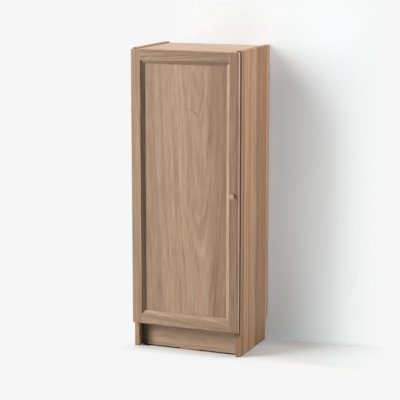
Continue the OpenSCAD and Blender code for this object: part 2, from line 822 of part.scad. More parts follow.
// Turned knob: a foot, a neck that flares out to the head, and a round-edged, domed face.
module knob() {
    r = knob_d / 2;
    neck_r = knob_neck_d / 2;
    color(pine_light) translate([knob_x, door_front_y, knob_z]) rotate([90, 0, 0]) difference() {
        rotate_extrude() intersection() {
            union() {
                polygon([[0, 0], [knob_foot_d / 2, 0], [knob_foot_d / 2, knob_foot_t],
                    [neck_r, 2 * knob_foot_t], [neck_r, knob_len - knob_flare_len],
                    [r - knob_rim_r / 2, knob_len - 2 * knob_rim_r], [r - knob_rim_r, knob_len],
                    [0, knob_len]]);
                translate([r - knob_rim_r, knob_len - knob_rim_r]) circle(knob_rim_r);
            }
            translate([0, -cut]) square([r, knob_len + 2 * cut]);
            translate([0, knob_len - knob_dome_r]) circle(knob_dome_r);
        }
        translate([0, 0, -cut]) cylinder(h = knob_thread + cut, d = knob_screw_d);
    }
}

module knob_screw() {
    color(steel) translate([knob_x, door_back_y, knob_z]) rotate([-90, 0, 0]) difference() {
        union() {
            translate([0, 0, -door_t - knob_thread + 1])
                cylinder(h = door_t + knob_thread - 1, d = knob_screw_d);
            translate([0, 0, -knob_recess]) cylinder(h = knob_screw_head_t, d = knob_screw_head_d);
        }
        translate([0, 0, knob_screw_head_t - knob_recess]) cross_recess(5, 1.3);
    }
}

left_side_panel();
right_side_panel();
top_panel();
bottom_panel();
plinth();
back_panel();
cam_bolts();
cam_locks();
carcass_dowels();
glides();
wall_bracket();
wall_bracket_screw();
upper_mounting_plate();
lower_mounting_plate();
mounting_plate_screws();
upper_hinge_arm();
lower_hinge_arm();
arm_fixing_screws();
lower_shelf_pins();
upper_shelf_pins();
lower_shelf();
upper_shelf();
door_left_stile();
door_right_stile();
door_top_rail();
door_bottom_rail();
door_panel();
door_frame_dowels();
upper_hinge_cup();
lower_hinge_cup();
hinge_pins();
hinge_cup_screws();
door_bumpers();
knob();
knob_screw();
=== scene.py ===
"""Pantry cabinet in stained pine: finishes, floor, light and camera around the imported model."""

import math

import bpy
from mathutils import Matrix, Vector


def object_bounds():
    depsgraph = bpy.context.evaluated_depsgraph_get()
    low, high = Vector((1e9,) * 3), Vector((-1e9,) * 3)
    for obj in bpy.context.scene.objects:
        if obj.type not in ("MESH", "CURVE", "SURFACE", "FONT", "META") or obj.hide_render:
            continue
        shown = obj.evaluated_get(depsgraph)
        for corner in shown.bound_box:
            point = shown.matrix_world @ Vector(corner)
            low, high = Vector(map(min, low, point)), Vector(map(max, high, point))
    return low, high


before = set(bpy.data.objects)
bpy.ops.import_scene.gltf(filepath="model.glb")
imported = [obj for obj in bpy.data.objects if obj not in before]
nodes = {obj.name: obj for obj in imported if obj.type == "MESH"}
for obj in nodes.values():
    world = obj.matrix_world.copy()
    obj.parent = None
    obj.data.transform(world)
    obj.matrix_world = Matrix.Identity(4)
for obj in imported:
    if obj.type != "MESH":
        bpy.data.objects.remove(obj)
cad_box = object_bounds()


# ---------- camera ----------

camera_data = bpy.data.cameras.new("camera")
camera_data.lens = 136.68
camera_data.sensor_width = 36
camera_data.clip_end = 200
camera = bpy.data.objects.new("camera", camera_data)
camera.location = (1.9813, -4.8639, 1.5061)
camera.rotation_euler = (math.radians(79.37), 0, math.radians(22.15))
bpy.context.scene.collection.objects.link(camera)
bpy.context.scene.camera = camera
bpy.context.scene.view_settings.view_transform = "Standard"


# ---------- laying out nodes ----------


class Bench:
    """Places nodes in one tree and joins them: a value may be a number, a colour or a socket."""

    def __init__(self, tree):
        self.tree = tree

    def node(self, kind, **settings):
        """One new node, with its settings."""
        made = self.tree.nodes.new(kind)
        for key, value in settings.items():
            setattr(made, key, value)
        return made

    def feed(self, socket, value):
        """Joins a socket to an input, or sets the input to a value."""
        if isinstance(value, bpy.types.NodeSocket):
            self.tree.links.new(value, socket)
        elif value is not None:
            if isinstance(value, (tuple, list)) and len(value) == 3 and socket.type == "RGBA":
                value = (*value, 1.0)
            socket.default_value = value

    def math(self, operation, *values):
        """The result of one sum with numbers."""
        made = self.node("ShaderNodeMath", operation=operation)
        for socket, value in zip(made.inputs, values):
            self.feed(socket, value)
        return made.outputs[0]

    def vector(self, operation, *values):
        """The result of one sum with vectors: a number where it gives a length."""
        made = self.node("ShaderNodeVectorMath", operation=operation)
        for socket, value in zip(made.inputs, values):
            self.feed(socket, value)
        return made.outputs["Value" if operation in ("DOT_PRODUCT", "LENGTH", "DISTANCE") else "Vector"]

    def scaled(self, value, factors):
        """A vector with its x, y and z multiplied by the factors."""
        return self.vector("MULTIPLY", value, factors)

    def axes(self, value):
        """The x, y and z of a vector."""
        made = self.node("ShaderNodeSeparateXYZ")
        self.feed(made.inputs[0], value)
        return made.outputs

    def product(self, *masks):
        """Where all of the masks are set."""
        whole = masks[0]
        for mask in masks[1:]:
            whole = self.math("MULTIPLY", whole, mask)
        return whole

    def greatest(self, *masks):
        """Where any of the masks is set."""
        whole = masks[0]
        for mask in masks[1:]:
            whole = self.math("MAXIMUM", whole, mask)
        return whole

    def mix(self, amount, first, second, blend="MIX"):
        """The first colour, and the second as far as the amount says."""
        made = self.node("ShaderNodeMix", data_type="RGBA", blend_type=blend, clamp_factor=True)
        self.feed(made.inputs[0], amount)
        self.feed(made.inputs[6], first)
        self.feed(made.inputs[7], second)
        return made.outputs[2]

    def between(self, value, low, high, to_low=0.0, to_high=1.0, smooth=True):
        """value from low to high, mapped to to_low and to_high and held beyond them."""
        made = self.node("ShaderNodeMapRange", interpolation_type="SMOOTHSTEP" if smooth else "LINEAR")
        for socket, given in zip(made.inputs, (value, low, high, to_low, to_high)):
            self.feed(socket, given)
        return made.outputs[0]

    def noise(self, where, scale, detail=2.0, rough=0.5, warp=0.0, colour=False):
        """Soft noise between 0 and 1, or three of them as a colour."""
        made = self.node("ShaderNodeTexNoise")
        for name, value in (("Vector", where), ("Scale", scale), ("Detail", detail),
                            ("Roughness", rough), ("Distortion", warp)):
            self.feed(made.inputs[name], value)
        return made.outputs["Color" if colour else "Fac"]

    def noise_along(self, where, scale, detail=1.0):
        """Soft noise between 0 and 1 along one number."""
        made = self.node("ShaderNodeTexNoise", noise_dimensions="1D")
        for name, value in (("W", where), ("Scale", scale), ("Detail", detail)):
            self.feed(made.inputs[name], value)
        return made.outputs["Fac"]

    def ramp(self, value, *stops):
        """Colour for a value from 0 to 1: a stop is (place, grey or colour)."""
        made = self.node("ShaderNodeValToRGB")
        band = made.color_ramp
        while len(band.elements) < len(stops):
            band.elements.new(0.5)
        for element, (position, colour) in zip(band.elements, stops):
            element.position = position
            element.color = (*colour, 1.0) if isinstance(colour, tuple) else (colour, colour, colour, 1.0)
        self.feed(made.inputs[0], value)
        return made.outputs[0]


def make_group(name, takes, gives):
    """Shader node group with named inputs and outputs: returns (group, bench, inputs).

    takes lists (name, kind, start value) and gives lists (name, kind).
    """
    group = bpy.data.node_groups.new(name, "ShaderNodeTree")
    for title, kind, start in takes:
        socket = group.interface.new_socket(title, in_out="INPUT", socket_type="NodeSocket" + kind)
        if start is not None:
            socket.default_value = (*start, 1.0) if kind == "Color" else start
    for title, kind in gives:
        group.interface.new_socket(title, in_out="OUTPUT", socket_type="NodeSocket" + kind)
    bench = Bench(group)
    entry = bench.node("NodeGroupInput")
    return group, bench, entry.outputs


def hand_out(bench, **values):
    """Feeds a group's outputs; a name's underscores stand for spaces."""
    end = bench.node("NodeGroupOutput")
    for title, value in values.items():
        bench.feed(end.inputs[title.replace("_", " ")], value)


def place(bench, group, **values):
    """One use of a group in a material or another group, with its own values."""
    made = bench.node("ShaderNodeGroup", node_tree=group)
    for title, value in values.items():
        bench.feed(made.inputs[title.replace("_", " ")], value)
    return made.outputs


def srgb(red, green, blue):
    """Linear colour of the 0-255 value that a colour chart gives."""

    def linear(level):
        level /= 255
        return level / 12.92 if level <= 0.04045 else ((level + 0.055) / 1.055) ** 2.4

    return (linear(red), linear(green), linear(blue))


# ---------- effects that several finishes share ----------


def make_growth_rings():
    """Annual rings round a pith along Z, in metres."""
    group, b, given = make_group(
        "growth_rings",
        [("Place", "Vector", None), ("Ring Width", "Float", 0.005), ("Wander", "Float", 0.006),
         ("Push", "Float", 0.0)],
        [("Late Wood", "Float"), ("Ring Tone", "Float"), ("Band", "Float"), ("Figure", "Float")])
    where = given["Place"]
    slow = b.noise(b.scaled(where, (5.0, 5.0, 1.7)), 1.0, 2.0, 0.45, colour=True)
    quick = b.noise(b.scaled(where, (30.0, 30.0, 9.0)), 1.0, 2.0, 0.5, colour=True)
    bend = b.vector("MULTIPLY_ADD", b.vector("SUBTRACT", slow, (0.5, 0.5, 0.5)), (5.0, 5.0, 0.0),
                    b.scaled(b.vector("SUBTRACT", quick, (0.5, 0.5, 0.5)), (0.55, 0.55, 0.0)))
    spread = b.vector("SCALE", bend)
    b.feed(spread.node.inputs["Scale"], given["Wander"])
    flat = b.scaled(b.vector("ADD", where, spread), (1.0, 1.0, 0.0))
    radius = b.math("ADD", b.vector("LENGTH", flat), given["Push"])
    count = b.math("DIVIDE", radius, given["Ring Width"])
    count = b.math("ADD", count, b.math("MULTIPLY", b.noise_along(count, 0.23, 2.0), 3.0))
    within = b.math("FRACT", count)
    late = b.ramp(within, (0.0, 0.25), (0.12, 0.0), (0.5, 0.16), (0.86, 1.0), (0.97, 0.9), (1.0, 0.25))
    number = b.node("ShaderNodeTexWhiteNoise", noise_dimensions="1D")
    b.feed(number.inputs["W"], b.math("FLOOR", count))
    beside, _, above = b.axes(where)
    unrolled = b.node("ShaderNodeCombineXYZ")
    for socket, value, stretch in zip(unrolled.inputs, (count, beside, above), (1.1, 4.0, 3.2)):
        b.feed(socket, b.math("MULTIPLY", value, stretch))
    hand_out(b, Late_Wood=late, Ring_Tone=number.outputs["Value"],
             Band=b.noise_along(count, 0.31, 2.0), Figure=b.noise(unrolled.outputs[0], 1.0, 3.0, 0.6))
    return group


def make_wood_fibre():
    """Streaks, fibres, broken dark dashes and short flecks that run along Z."""
    group, b, given = make_group(
        "wood_fibre",
        [("Place", "Vector", None)],
        [("Streak", "Float"), ("Tint", "Float"), ("Dash", "Float"), ("Fibre", "Float"), ("Fleck", "Float")])
    where = given["Place"]
    streak = b.noise(b.scaled(where, (75.0, 75.0, 2.2)), 1.0, 3.0, 0.55)
    tint = b.noise(b.scaled(where, (38.0, 38.0, 1.6)), 1.0, 2.0, 0.5, 0.4)
    dash = b.noise(b.scaled(where, (210.0, 210.0, 15.0)), 1.0, 2.0, 0.55, 0.6)
    fibre = b.noise(b.scaled(where, (900.0, 900.0, 22.0)), 1.0, 3.0, 0.6)
    fleck = b.noise(b.scaled(where, (1500.0, 1500.0, 55.0)), 1.0, 1.0, 0.4)
    hand_out(b, Streak=streak, Tint=tint, Dash=b.between(dash, 0.42, 0.70), Fibre=fibre,
             Fleck=b.between(fleck, 0.66, 0.76))
    return group


def make_knot():
    """A small knot: how far it pushes the rings out, and its dark heart."""
    group, b, given = make_group(
        "knot",
        [("Place", "Vector", None), ("Centre", "Vector", (0.0, 0.0, 0.0)), ("Size", "Float", 0.01)],
        [("Push", "Float"), ("Heart", "Float")])
    stray = b.vector("SUBTRACT", b.noise(given["Place"], 90.0, 2.0, 0.5, colour=True), (0.5, 0.5, 0.5))
    away = b.vector("ADD", b.vector("SUBTRACT", given["Place"], given["Centre"]),
                    b.scaled(stray, (0.004, 0.0, 0.006)))
    reach = b.math("DIVIDE", b.vector("LENGTH", b.scaled(away, (1.0, 0.0, 0.42))), given["Size"])
    near = b.math("EXPONENT", b.math("MULTIPLY", b.math("MULTIPLY", reach, reach), -0.35))
    rings = b.math("MULTIPLY_ADD", b.math("SINE", b.math("MULTIPLY", reach, 11.0)), 0.25, 0.75)
    heart = b.math("MULTIPLY", b.between(reach, 0.9, 0.35), rings)
    hand_out(b, Push=b.math("MULTIPLY", near, b.math("MULTIPLY", given["Size"], 1.3)), Heart=heart)
    return group


def make_edge_wear_and_shade():
    """Masks of outer edges, broken up as by handling, for pale wear that also stands in for edge
    highlights, and of inner corners, for painted shade.
    """
    group, b, given = make_group(
        "edge_wear_and_shade",
        [("Place", "Vector", None), ("Edge", "Float", 0.0025), ("Corner", "Float", 0.008)],
        [("Rub", "Float"), ("Gather", "Float")])
    rounded = b.node("ShaderNodeBevel", samples=4)
    b.feed(rounded.inputs["Radius"], given["Edge"])
    plain = b.node("ShaderNodeNewGeometry")
    turn = b.math("SUBTRACT", 1.0, b.vector("DOT_PRODUCT", rounded.outputs[0], plain.outputs["Normal"]))
    shelter = b.node("ShaderNodeAmbientOcclusion", samples=6, only_local=False)
    b.feed(shelter.inputs["Distance"], given["Corner"])
    # painted shade: inner corners, found by ambient occlusion, for the finishes to darken
    painted_corner_shade = b.between(shelter.outputs["AO"], 0.94, 0.45)
    patch = b.noise(given["Place"], 55.0, 4.0, 0.6)
    # pale edges, as wear and as painted highlights
    rub_and_highlight = b.product(b.between(turn, 0.01, 0.12), b.between(patch, 0.36, 0.62, 0.45, 1.0),
                    b.between(shelter.outputs["AO"], 0.6, 0.95))
    hand_out(b, Rub=rub_and_highlight, Gather=painted_corner_shade)
    return group


def make_hand_marks():
    """Faint clouding and hairline scratches that only touch roughness and relief."""
    group, b, given = make_group(
        "hand_marks",
        [("Place", "Vector", None)],
        [("Cloud", "Float"), ("Scratch", "Float")])
    cloud = b.noise(given["Place"], 9.0, 4.0, 0.6, 0.3)
    bent = b.vector("ADD", given["Place"], b.scaled(b.noise(given["Place"], 4.0, 2.0, 0.5, colour=True),
                                                    (0.08, 0.08, 0.08)))
    line = b.node("ShaderNodeTexVoronoi", feature="DISTANCE_TO_EDGE")
    b.feed(line.inputs["Vector"], b.scaled(bent, (70.0, 31.0, 5.0)))
    b.feed(line.inputs["Scale"], 1.0)
    hair = b.between(line.outputs["Distance"], 0.012, 0.0)
    keep = b.between(b.noise(given["Place"], 21.0, 2.0, 0.5), 0.52, 0.66)
    hand_out(b, Cloud=cloud, Scratch=b.math("MULTIPLY", hair, keep))
    return group


growth_rings = make_growth_rings()
wood_fibre = make_wood_fibre()
knot = make_knot()
edge_wear_and_shade = make_edge_wear_and_shade()
hand_marks = make_hand_marks()


NO_KNOT = (9.0, 9.0, 9.0)  # metres away, so that no knot shows


def make_stained_pine():
    """Stained and varnished pine: colour, roughness and relief from rings, fibres, knot and wear, with
    painted shade in inner corners and painted highlights on edges.
    """
    group, b, given = make_group(
        "stained_pine",
        [("Place", "Vector", None), ("Facing Grain", "Float", 0.0),
         ("Early Wood", "Color", (0.5, 0.35, 0.25)), ("Late Wood", "Color", (0.3, 0.2, 0.13)),
         ("Ring Width", "Float", 0.005), ("Wander", "Float", 0.006),
         ("Ring Contrast", "Float", 0.5), ("Band Contrast", "Float", 0.3),
         ("Figure Contrast", "Float", 0.4), ("Streak Contrast", "Float", 0.3),
         ("Knot Centre", "Vector", NO_KNOT), ("Knot Size", "Float", 0.008), ("Wear", "Float", 0.5)],
        [("Color", "Color"), ("Roughness", "Float"), ("Height", "Float")])
    where = given["Place"]
    eye = place(b, knot, Place=where, Centre=given["Knot Centre"], Size=given["Knot Size"])
    ring = place(b, growth_rings, Place=where, Ring_Width=given["Ring Width"], Wander=given["Wander"],
                 Push=eye["Push"])
    grain = place(b, wood_fibre, Place=where)
    marks = place(b, hand_marks, Place=where)
    wear_and_shade = place(b, edge_wear_and_shade, Place=where)

    depth = b.between(ring["Ring Tone"], 0.0, 1.0, 0.35, 1.0, False)
    late = b.product(ring["Late Wood"], given["Ring Contrast"], depth)
    colour = b.mix(late, given["Early Wood"], given["Late Wood"])

    def tone(value, strength, light, dark):
        """The colour, lighter where value is over a half and darker where it is under."""
        up = b.math("MULTIPLY", b.between(value, 0.5, 0.72), strength)
        down = b.math("MULTIPLY", b.between(value, 0.5, 0.28), strength)
        return b.mix(down, b.mix(up, colour, light, "SCREEN"), dark, "MULTIPLY")

    def stain_or_shade(mask, most, tint):
        """The colour, multiplied by tint as far as the mask and its greatest share say."""
        return b.mix(b.math("MULTIPLY", mask, most), colour, tint, "MULTIPLY")

    colour = tone(ring["Band"], given["Band Contrast"], (0.30, 0.22, 0.15), (0.62, 0.58, 0.55))
    colour = tone(ring["Figure"], given["Figure Contrast"], (0.26, 0.20, 0.13), (0.62, 0.58, 0.56))
    colour = tone(grain["Streak"], given["Streak Contrast"], (0.22, 0.17, 0.12), (0.66, 0.62, 0.58))
    colour = stain_or_shade(b.between(grain["Tint"], 0.5, 0.72), 0.35, (1.0, 0.93, 0.94))
    colour = stain_or_shade(b.between(grain["Tint"], 0.5, 0.3), 0.35, (0.97, 0.98, 0.86))
    colour = stain_or_shade(grain["Dash"], 0.5, (0.72, 0.66, 0.61))
    colour = stain_or_shade(b.between(grain["Fibre"], 0.35, 0.7), 0.22, (0.74, 0.70, 0.66))
    colour = stain_or_shade(grain["Fleck"], 0.35, (0.55, 0.48, 0.42))
    colour = stain_or_shade(eye["Heart"], 0.75, (0.36, 0.25, 0.19))
    colour = stain_or_shade(b.between(given["Facing Grain"], 0.6, 0.9), 0.12, (0.70, 0.62, 0.56))
    # painted shade: darker in inner corners and along narrow gaps
    colour = stain_or_shade(wear_and_shade["Gather"], 0.95, (0.32, 0.23, 0.16))
    # pale edges: wear, and painted highlights where edges would catch the light
    colour = b.mix(b.math("MULTIPLY", wear_and_shade["Rub"], given["Wear"]), colour, (0.66, 0.50, 0.37))

    rough = b.math("MULTIPLY_ADD", ring["Late Wood"], -0.10, 0.56)
    rough = b.math("MULTIPLY_ADD", b.math("SUBTRACT", marks["Cloud"], 0.5), 0.22, rough)
    rough = b.math("MULTIPLY_ADD", wear_and_shade["Rub"], 0.10, rough)
    rough = b.math("MULTIPLY_ADD", marks["Scratch"], 0.12, rough)

    height = b.math("MULTIPLY_ADD", ring["Late Wood"], 0.45, b.math("MULTIPLY", grain["Fibre"], 0.55))
    height = b.math("MULTIPLY_ADD", grain["Fleck"], -0.5, height)
    height = b.math("MULTIPLY_ADD", marks["Scratch"], -0.4, height)
    hand_out(b, Color=colour, Roughness=rough, Height=height)
    return group


stained_pine = make_stained_pine()


# ---------- finishes ----------


def new_finish(name):
    """Material with a Principled shader: returns (material, bench, shader)."""
    finish = bpy.data.materials.new(name)
    finish.use_nodes = True
    finish.node_tree.nodes.clear()
    b = Bench(finish.node_tree)
    shader = b.node("ShaderNodeBsdfPrincipled")
    end = b.node("ShaderNodeOutputMaterial")
    finish.node_tree.links.new(shader.outputs[0], end.inputs[0])
    return finish, b, shader


def relief(b, shader, height, depth):
    """Surface relief from a height between 0 and 1, depth metres deep."""
    bump = b.node("ShaderNodeBump")
    b.feed(bump.inputs["Height"], height)
    b.feed(bump.inputs["Distance"], depth)
    b.feed(shader.inputs["Normal"], bump.outputs[0])


def grain_curl(b, where, across, up):
    """Mask of a pointed curl in the figure: a wavering arm to the left and a steep stem upwards."""
    x, _, z = b.axes(where)
    waver = b.math("SUBTRACT", b.noise(b.scaled(where, (105.0, 0.0, 105.0)), 1.0, 2.0), 0.5)
    beside = b.math("SUBTRACT", x, across)
    above = b.math("MULTIPLY_ADD", waver, 0.026, b.math("SUBTRACT", z, up))
    off_arm = b.math("ABSOLUTE", b.math("MULTIPLY_ADD", beside, 0.55, above))
    off_stem = b.math("ABSOLUTE", b.math("MULTIPLY_ADD", above, -0.2, beside))
    arm = b.product(b.between(off_arm, 0.007, 0.001), b.between(beside, 0.004, -0.003),
                    b.between(beside, -0.055, -0.025))
    stem = b.product(b.between(off_stem, 0.0055, 0.001), b.between(above, -0.006, 0.002),
                     b.between(above, 0.14, 0.02))
    return b.greatest(arm, stem)


# Stained colours of the soft early wood and the dense late wood of a year's ring.
EARLY = srgb(188, 158, 133)
LATE = srgb(142, 113, 90)
# Turns, in degrees, that bring each axis of the grain to the Z axis of the shared effects.
ALONG = {"z": (0, 0, 0), "x": (0, -90, 0), "y": (90, 0, 0)}


def tone_stop(at, tone, warmth):
    """One stop of a board's tones: a number is made redder as it gets deeper, and a colour stays."""
    if isinstance(tone, tuple):
        return at, tone
    return at, (tone, tone ** (1 + warmth), tone ** (1 + 2.2 * warmth))


def pine_board(name, grain="z", pith=(0.0, 0.06), lean=(0.0, 0.0), along=0.0, early=EARLY, late=LATE,
               ring=0.0055, wander=0.006, rings=0.35, bands=0.45, figure=0.5, streaks=0.45,
               knot_at=NO_KNOT, wear=0.5, across=None, warmth=0.1, drift=0.03, outer_edge=None, curl=None):
    """Pine cut so that its pith lies at the given distances beside and behind the board.

    grain is the axis that the fibres follow, and lean tips the pith, in degrees, so that the
    rings run out in arches on the face. along shifts the figure along the grain. ring is the
    width of a year's ring, and wander how far the rings stray, both in metres. rings, bands,
    figure and streaks say how strongly each of them shows, and wear how strongly the edges are
    paled, both as wear and as painted highlights. knot_at is the place of a knot. across is (axis,
    from, to, stops): how the board's depth of tone changes over its width, as stripes of tone
    and, on some boards, as painted shade and painted highlights. warmth makes the deeper tones
    redder, and drift is how far, in metres, they wander. outer_edge is (from, to) along Y: where
    the board's right edge gets a painted highlight, and where painted shade darkens it towards
    the gap behind it. curl is the place, along X and Z, of a curl in the figure.
    """
    finish, b, shader = new_finish(name)
    source = b.node("ShaderNodeTexCoord")
    where, normal = source.outputs["Object"], source.outputs["Normal"]
    turn = b.node("ShaderNodeMapping")
    b.feed(turn.inputs["Vector"], where)
    turn.inputs["Rotation"].default_value = [math.radians(a) for a in ALONG[grain]]
    tip = b.node("ShaderNodeMapping")
    b.feed(tip.inputs["Vector"], turn.outputs[0])
    tip.inputs["Rotation"].default_value = (math.radians(lean[0]), math.radians(lean[1]), 0)
    tip.inputs["Location"].default_value = (*pith, along)
    facing = b.math("ABSOLUTE", b.axes(normal)["XYZ".index(grain.upper())])
    board = place(b, stained_pine, Place=tip.outputs[0], Facing_Grain=facing, Early_Wood=early,
                  Late_Wood=late, Ring_Width=ring, Wander=wander, Ring_Contrast=rings,
                  Band_Contrast=bands, Figure_Contrast=figure, Streak_Contrast=streaks,
                  Knot_Centre=knot_at, Wear=wear)
    colour = board["Color"]
    if across:
        way, start, end, stops = across
        stray = b.math("SUBTRACT", b.noise(b.scaled(where, (5.0, 5.0, 2.2)), 1.0, 2.0), 0.5)
        strayed = b.math("MULTIPLY_ADD", stray, drift, b.axes(where)["XYZ".index(way)])
        depth = b.ramp(b.between(strayed, start, end, smooth=False),
                       *(tone_stop(at, tone, warmth) for at, tone in stops))
        colour = b.mix(1.0, colour, depth, "MULTIPLY")
    if curl:
        colour = b.mix(b.math("MULTIPLY", grain_curl(b, where, *curl), 0.7), colour,
                       (0.70, 0.64, 0.60), "MULTIPLY")
    if outer_edge:
        # painted highlight on the front of the board's right edge, and painted shade on its rear part
        # towards the gap
        right = b.between(b.axes(normal)["X"], 0.4, 0.8)
        behind = b.between(b.axes(where)["Y"], *outer_edge)
        painted_edge_light = b.math("MULTIPLY", right, b.math("SUBTRACT", 1.0, behind))
        colour = b.mix(painted_edge_light, colour, (2.4, 2.65, 2.9), "MULTIPLY")
        colour = b.mix(b.math("MULTIPLY", right, behind), colour, (0.55, 0.38, 0.20), "MULTIPLY")
    b.feed(shader.inputs["Base Color"], colour)
    b.feed(shader.inputs["Roughness"], board["Roughness"])
    shader.inputs["Specular IOR Level"].default_value = 0.35
    relief(b, shader, board["Height"], 0.00012)
    return finish


def plated(name, colour, rough, blotch, pitted):
    """Zinc or nickel plating with clouding and brushing, edges made paler as wear and as painted
    highlights, and painted shade in inner corners.
    """
    finish, b, shader = new_finish(name)
    source = b.node("ShaderNodeTexCoord").outputs["Object"]
    wear_and_shade = place(b, edge_wear_and_shade, Place=source, Edge=0.0006, Corner=0.002)
    marks = place(b, hand_marks, Place=b.scaled(source, (4.0, 4.0, 4.0)))
    spangle = b.noise(source, 420.0, 3.0, 0.6)
    brushed = b.noise(b.scaled(source, (300.0, 300.0, 2600.0)), 1.0, 2.0, 0.5)
    shade = b.mix(b.between(spangle, 0.35, 0.7, 0.0, blotch), colour, tuple(v * 0.72 for v in colour))
    # painted shade in inner corners
    shade = b.mix(b.math("MULTIPLY", wear_and_shade["Gather"], 0.7), shade, tuple(v * 0.45 for v in colour))
    # edges made paler, as wear and as painted highlight
    shade = b.mix(b.math("MULTIPLY", wear_and_shade["Rub"], 0.5), shade, tuple(min(1.0, v * 1.2) for v in colour))
    b.feed(shader.inputs["Base Color"], shade)
    clouded = b.math("MULTIPLY_ADD", marks["Cloud"], 0.16, rough - 0.08)
    b.feed(shader.inputs["Roughness"], b.math("MULTIPLY_ADD", spangle, 0.1, clouded))
    shader.inputs["Metallic"].default_value = 1.0
    relief(b, shader, b.math("MULTIPLY_ADD", brushed, 0.5, b.math("MULTIPLY", spangle, pitted)), 0.00003)
    return finish


def moulded(name, colour, rough, see_through=0.0):
    """Moulded plastic with a fine skin texture, edge scuffs that also serve as painted highlights, and
    painted shade in inner corners.
    """
    finish, b, shader = new_finish(name)
    source = b.node("ShaderNodeTexCoord").outputs["Object"]
    marks = place(b, hand_marks, Place=b.scaled(source, (3.0, 3.0, 3.0)))
    wear_and_shade = place(b, edge_wear_and_shade, Place=source, Edge=0.0005, Corner=0.002)
    skin = b.noise(source, 2600.0, 2.0, 0.5)
    shade = b.mix(b.between(marks["Cloud"], 0.4, 0.7, 0.0, 0.3), colour, tuple(v * 0.8 for v in colour))
    # painted shade in inner corners
    shade = b.mix(b.math("MULTIPLY", wear_and_shade["Gather"], 0.5), shade, tuple(v * 0.5 for v in colour))
    # paler scuffed edges, as wear and as painted highlight
    shade = b.mix(b.math("MULTIPLY", wear_and_shade["Rub"], 0.4), shade, tuple(min(1.0, v * 1.35) for v in colour))
    b.feed(shader.inputs["Base Color"], shade)
    b.feed(shader.inputs["Roughness"], b.math("MULTIPLY_ADD", marks["Cloud"], 0.2, rough - 0.1))
    shader.inputs["Subsurface Weight"].default_value = see_through
    relief(b, shader, skin, 0.00003)
    return finish


def pressed_hardboard(name):
    """Hardboard: smooth wood-coloured face towards the shelves, brown felted fibres at the rear."""
    finish, b, shader = new_finish(name)
    coords = b.node("ShaderNodeTexCoord")
    source = coords.outputs["Object"]
    wear_and_shade = place(b, edge_wear_and_shade, Place=source)
    marks = place(b, hand_marks, Place=source)
    felt = b.noise(source, 700.0, 4.0, 0.65, 0.8)
    mesh = b.node("ShaderNodeTexVoronoi", feature="F1")
    b.feed(mesh.inputs["Vector"], source)
    b.feed(mesh.inputs["Scale"], 520.0)
    chips = b.noise(source, 160.0, 3.0, 0.6, 1.5)
    raw = b.ramp(chips, (0.3, srgb(120, 88, 58)), (0.5, srgb(146, 110, 76)), (0.72, srgb(166, 131, 95)))
    raw = b.mix(b.between(felt, 0.35, 0.65, 0.0, 0.5), raw, srgb(104, 76, 50))
    grain = place(b, wood_fibre, Place=source)
    face = b.mix(b.between(grain["Streak"], 0.3, 0.7), srgb(196, 166, 138), srgb(176, 144, 116))
    face = b.mix(b.between(grain["Fibre"], 0.4, 0.7, 0.0, 0.3), face, srgb(150, 118, 92))
    rear = b.between(b.vector("DOT_PRODUCT", coords.outputs["Normal"], (0, 1, 0)), 0.3, 0.6)
    shade = b.mix(rear, face, raw)
    # painted shade in inner corners
    shade = b.mix(b.math("MULTIPLY", wear_and_shade["Gather"], 0.5), shade, srgb(84, 60, 42), "MULTIPLY")
    b.feed(shader.inputs["Base Color"], shade)
    clouded = b.math("MULTIPLY_ADD", marks["Cloud"], 0.2, 0.45)
    b.feed(shader.inputs["Roughness"], b.math("MULTIPLY_ADD", rear, 0.25, clouded))
    height = b.math("MULTIPLY", b.math("MULTIPLY_ADD", mesh.outputs["Distance"], 1.2, felt), rear)
    relief(b, shader, b.math("MULTIPLY_ADD", grain["Fibre"], 0.15, height), 0.0002)
    return finish


def bare_beech(name):
    """Bare beech dowel: pale, with short ray flecks."""
    finish, b, shader = new_finish(name)
    source = b.node("ShaderNodeTexCoord").outputs["Object"]
    turned = b.node("ShaderNodeMapping")
    b.feed(turned.inputs["Vector"], source)
    turned.inputs["Rotation"].default_value = (0, math.radians(-90), 0)
    grain = place(b, wood_fibre, Place=turned.outputs[0])
    marks = place(b, hand_marks, Place=source)
    shade = b.mix(b.between(grain["Streak"], 0.3, 0.7), srgb(222, 190, 150), srgb(204, 168, 126))
    shade = b.mix(b.math("MULTIPLY", grain["Fleck"], 0.6), shade, srgb(166, 122, 82))
    b.feed(shader.inputs["Base Color"], shade)
    b.feed(shader.inputs["Roughness"], b.math("MULTIPLY_ADD", marks["Cloud"], 0.2, 0.55))
    relief(b, shader, grain["Fibre"], 0.0001)
    return finish


# Where the boards' faces and edges lie, in metres.
SIDE_FRONT, SIDE_REAR = -0.119, 0.161
PLINTH_FRONT, PLINTH_HALF = -0.094, 0.182
PANEL_HALF = 0.151
STILE_INNER, STILE_OUTER = 0.1511, 0.1986
KNOB_FACE, KNOB_FOOT = -0.161, -0.139

# Depth of tone across a board: (share of the way, tone), where 1 leaves the wood as it is.
# Stripes of tone in the right side's wood; the front edge is bluer and darker, and the darker rear part is
# painted shade where the light falls off towards the back.
RIGHT_SIDE_STRIPES_AND_SHADE = (
    (0.0, (0.68, 0.66, 0.75)), (0.01, 0.84), (0.055, 0.84), (0.065, 0.56), (0.10, 0.56), (0.11, 0.82),
    (0.145, 0.98), (0.185, 1.0), (0.195, 0.84), (0.225, 0.84), (0.235, 1.0), (0.265, 0.98),
    (0.275, 0.78), (0.335, 0.80), (0.345, 0.95), (0.375, 1.0), (0.43, 0.90), (0.47, 0.96),
    (0.515, 0.92), (0.525, 0.68), (0.56, 0.60), (0.72, 0.65), (0.90, 0.58), (0.91, 1.0),
    (0.945, 1.0), (0.955, 0.68), (1.0, 0.72))
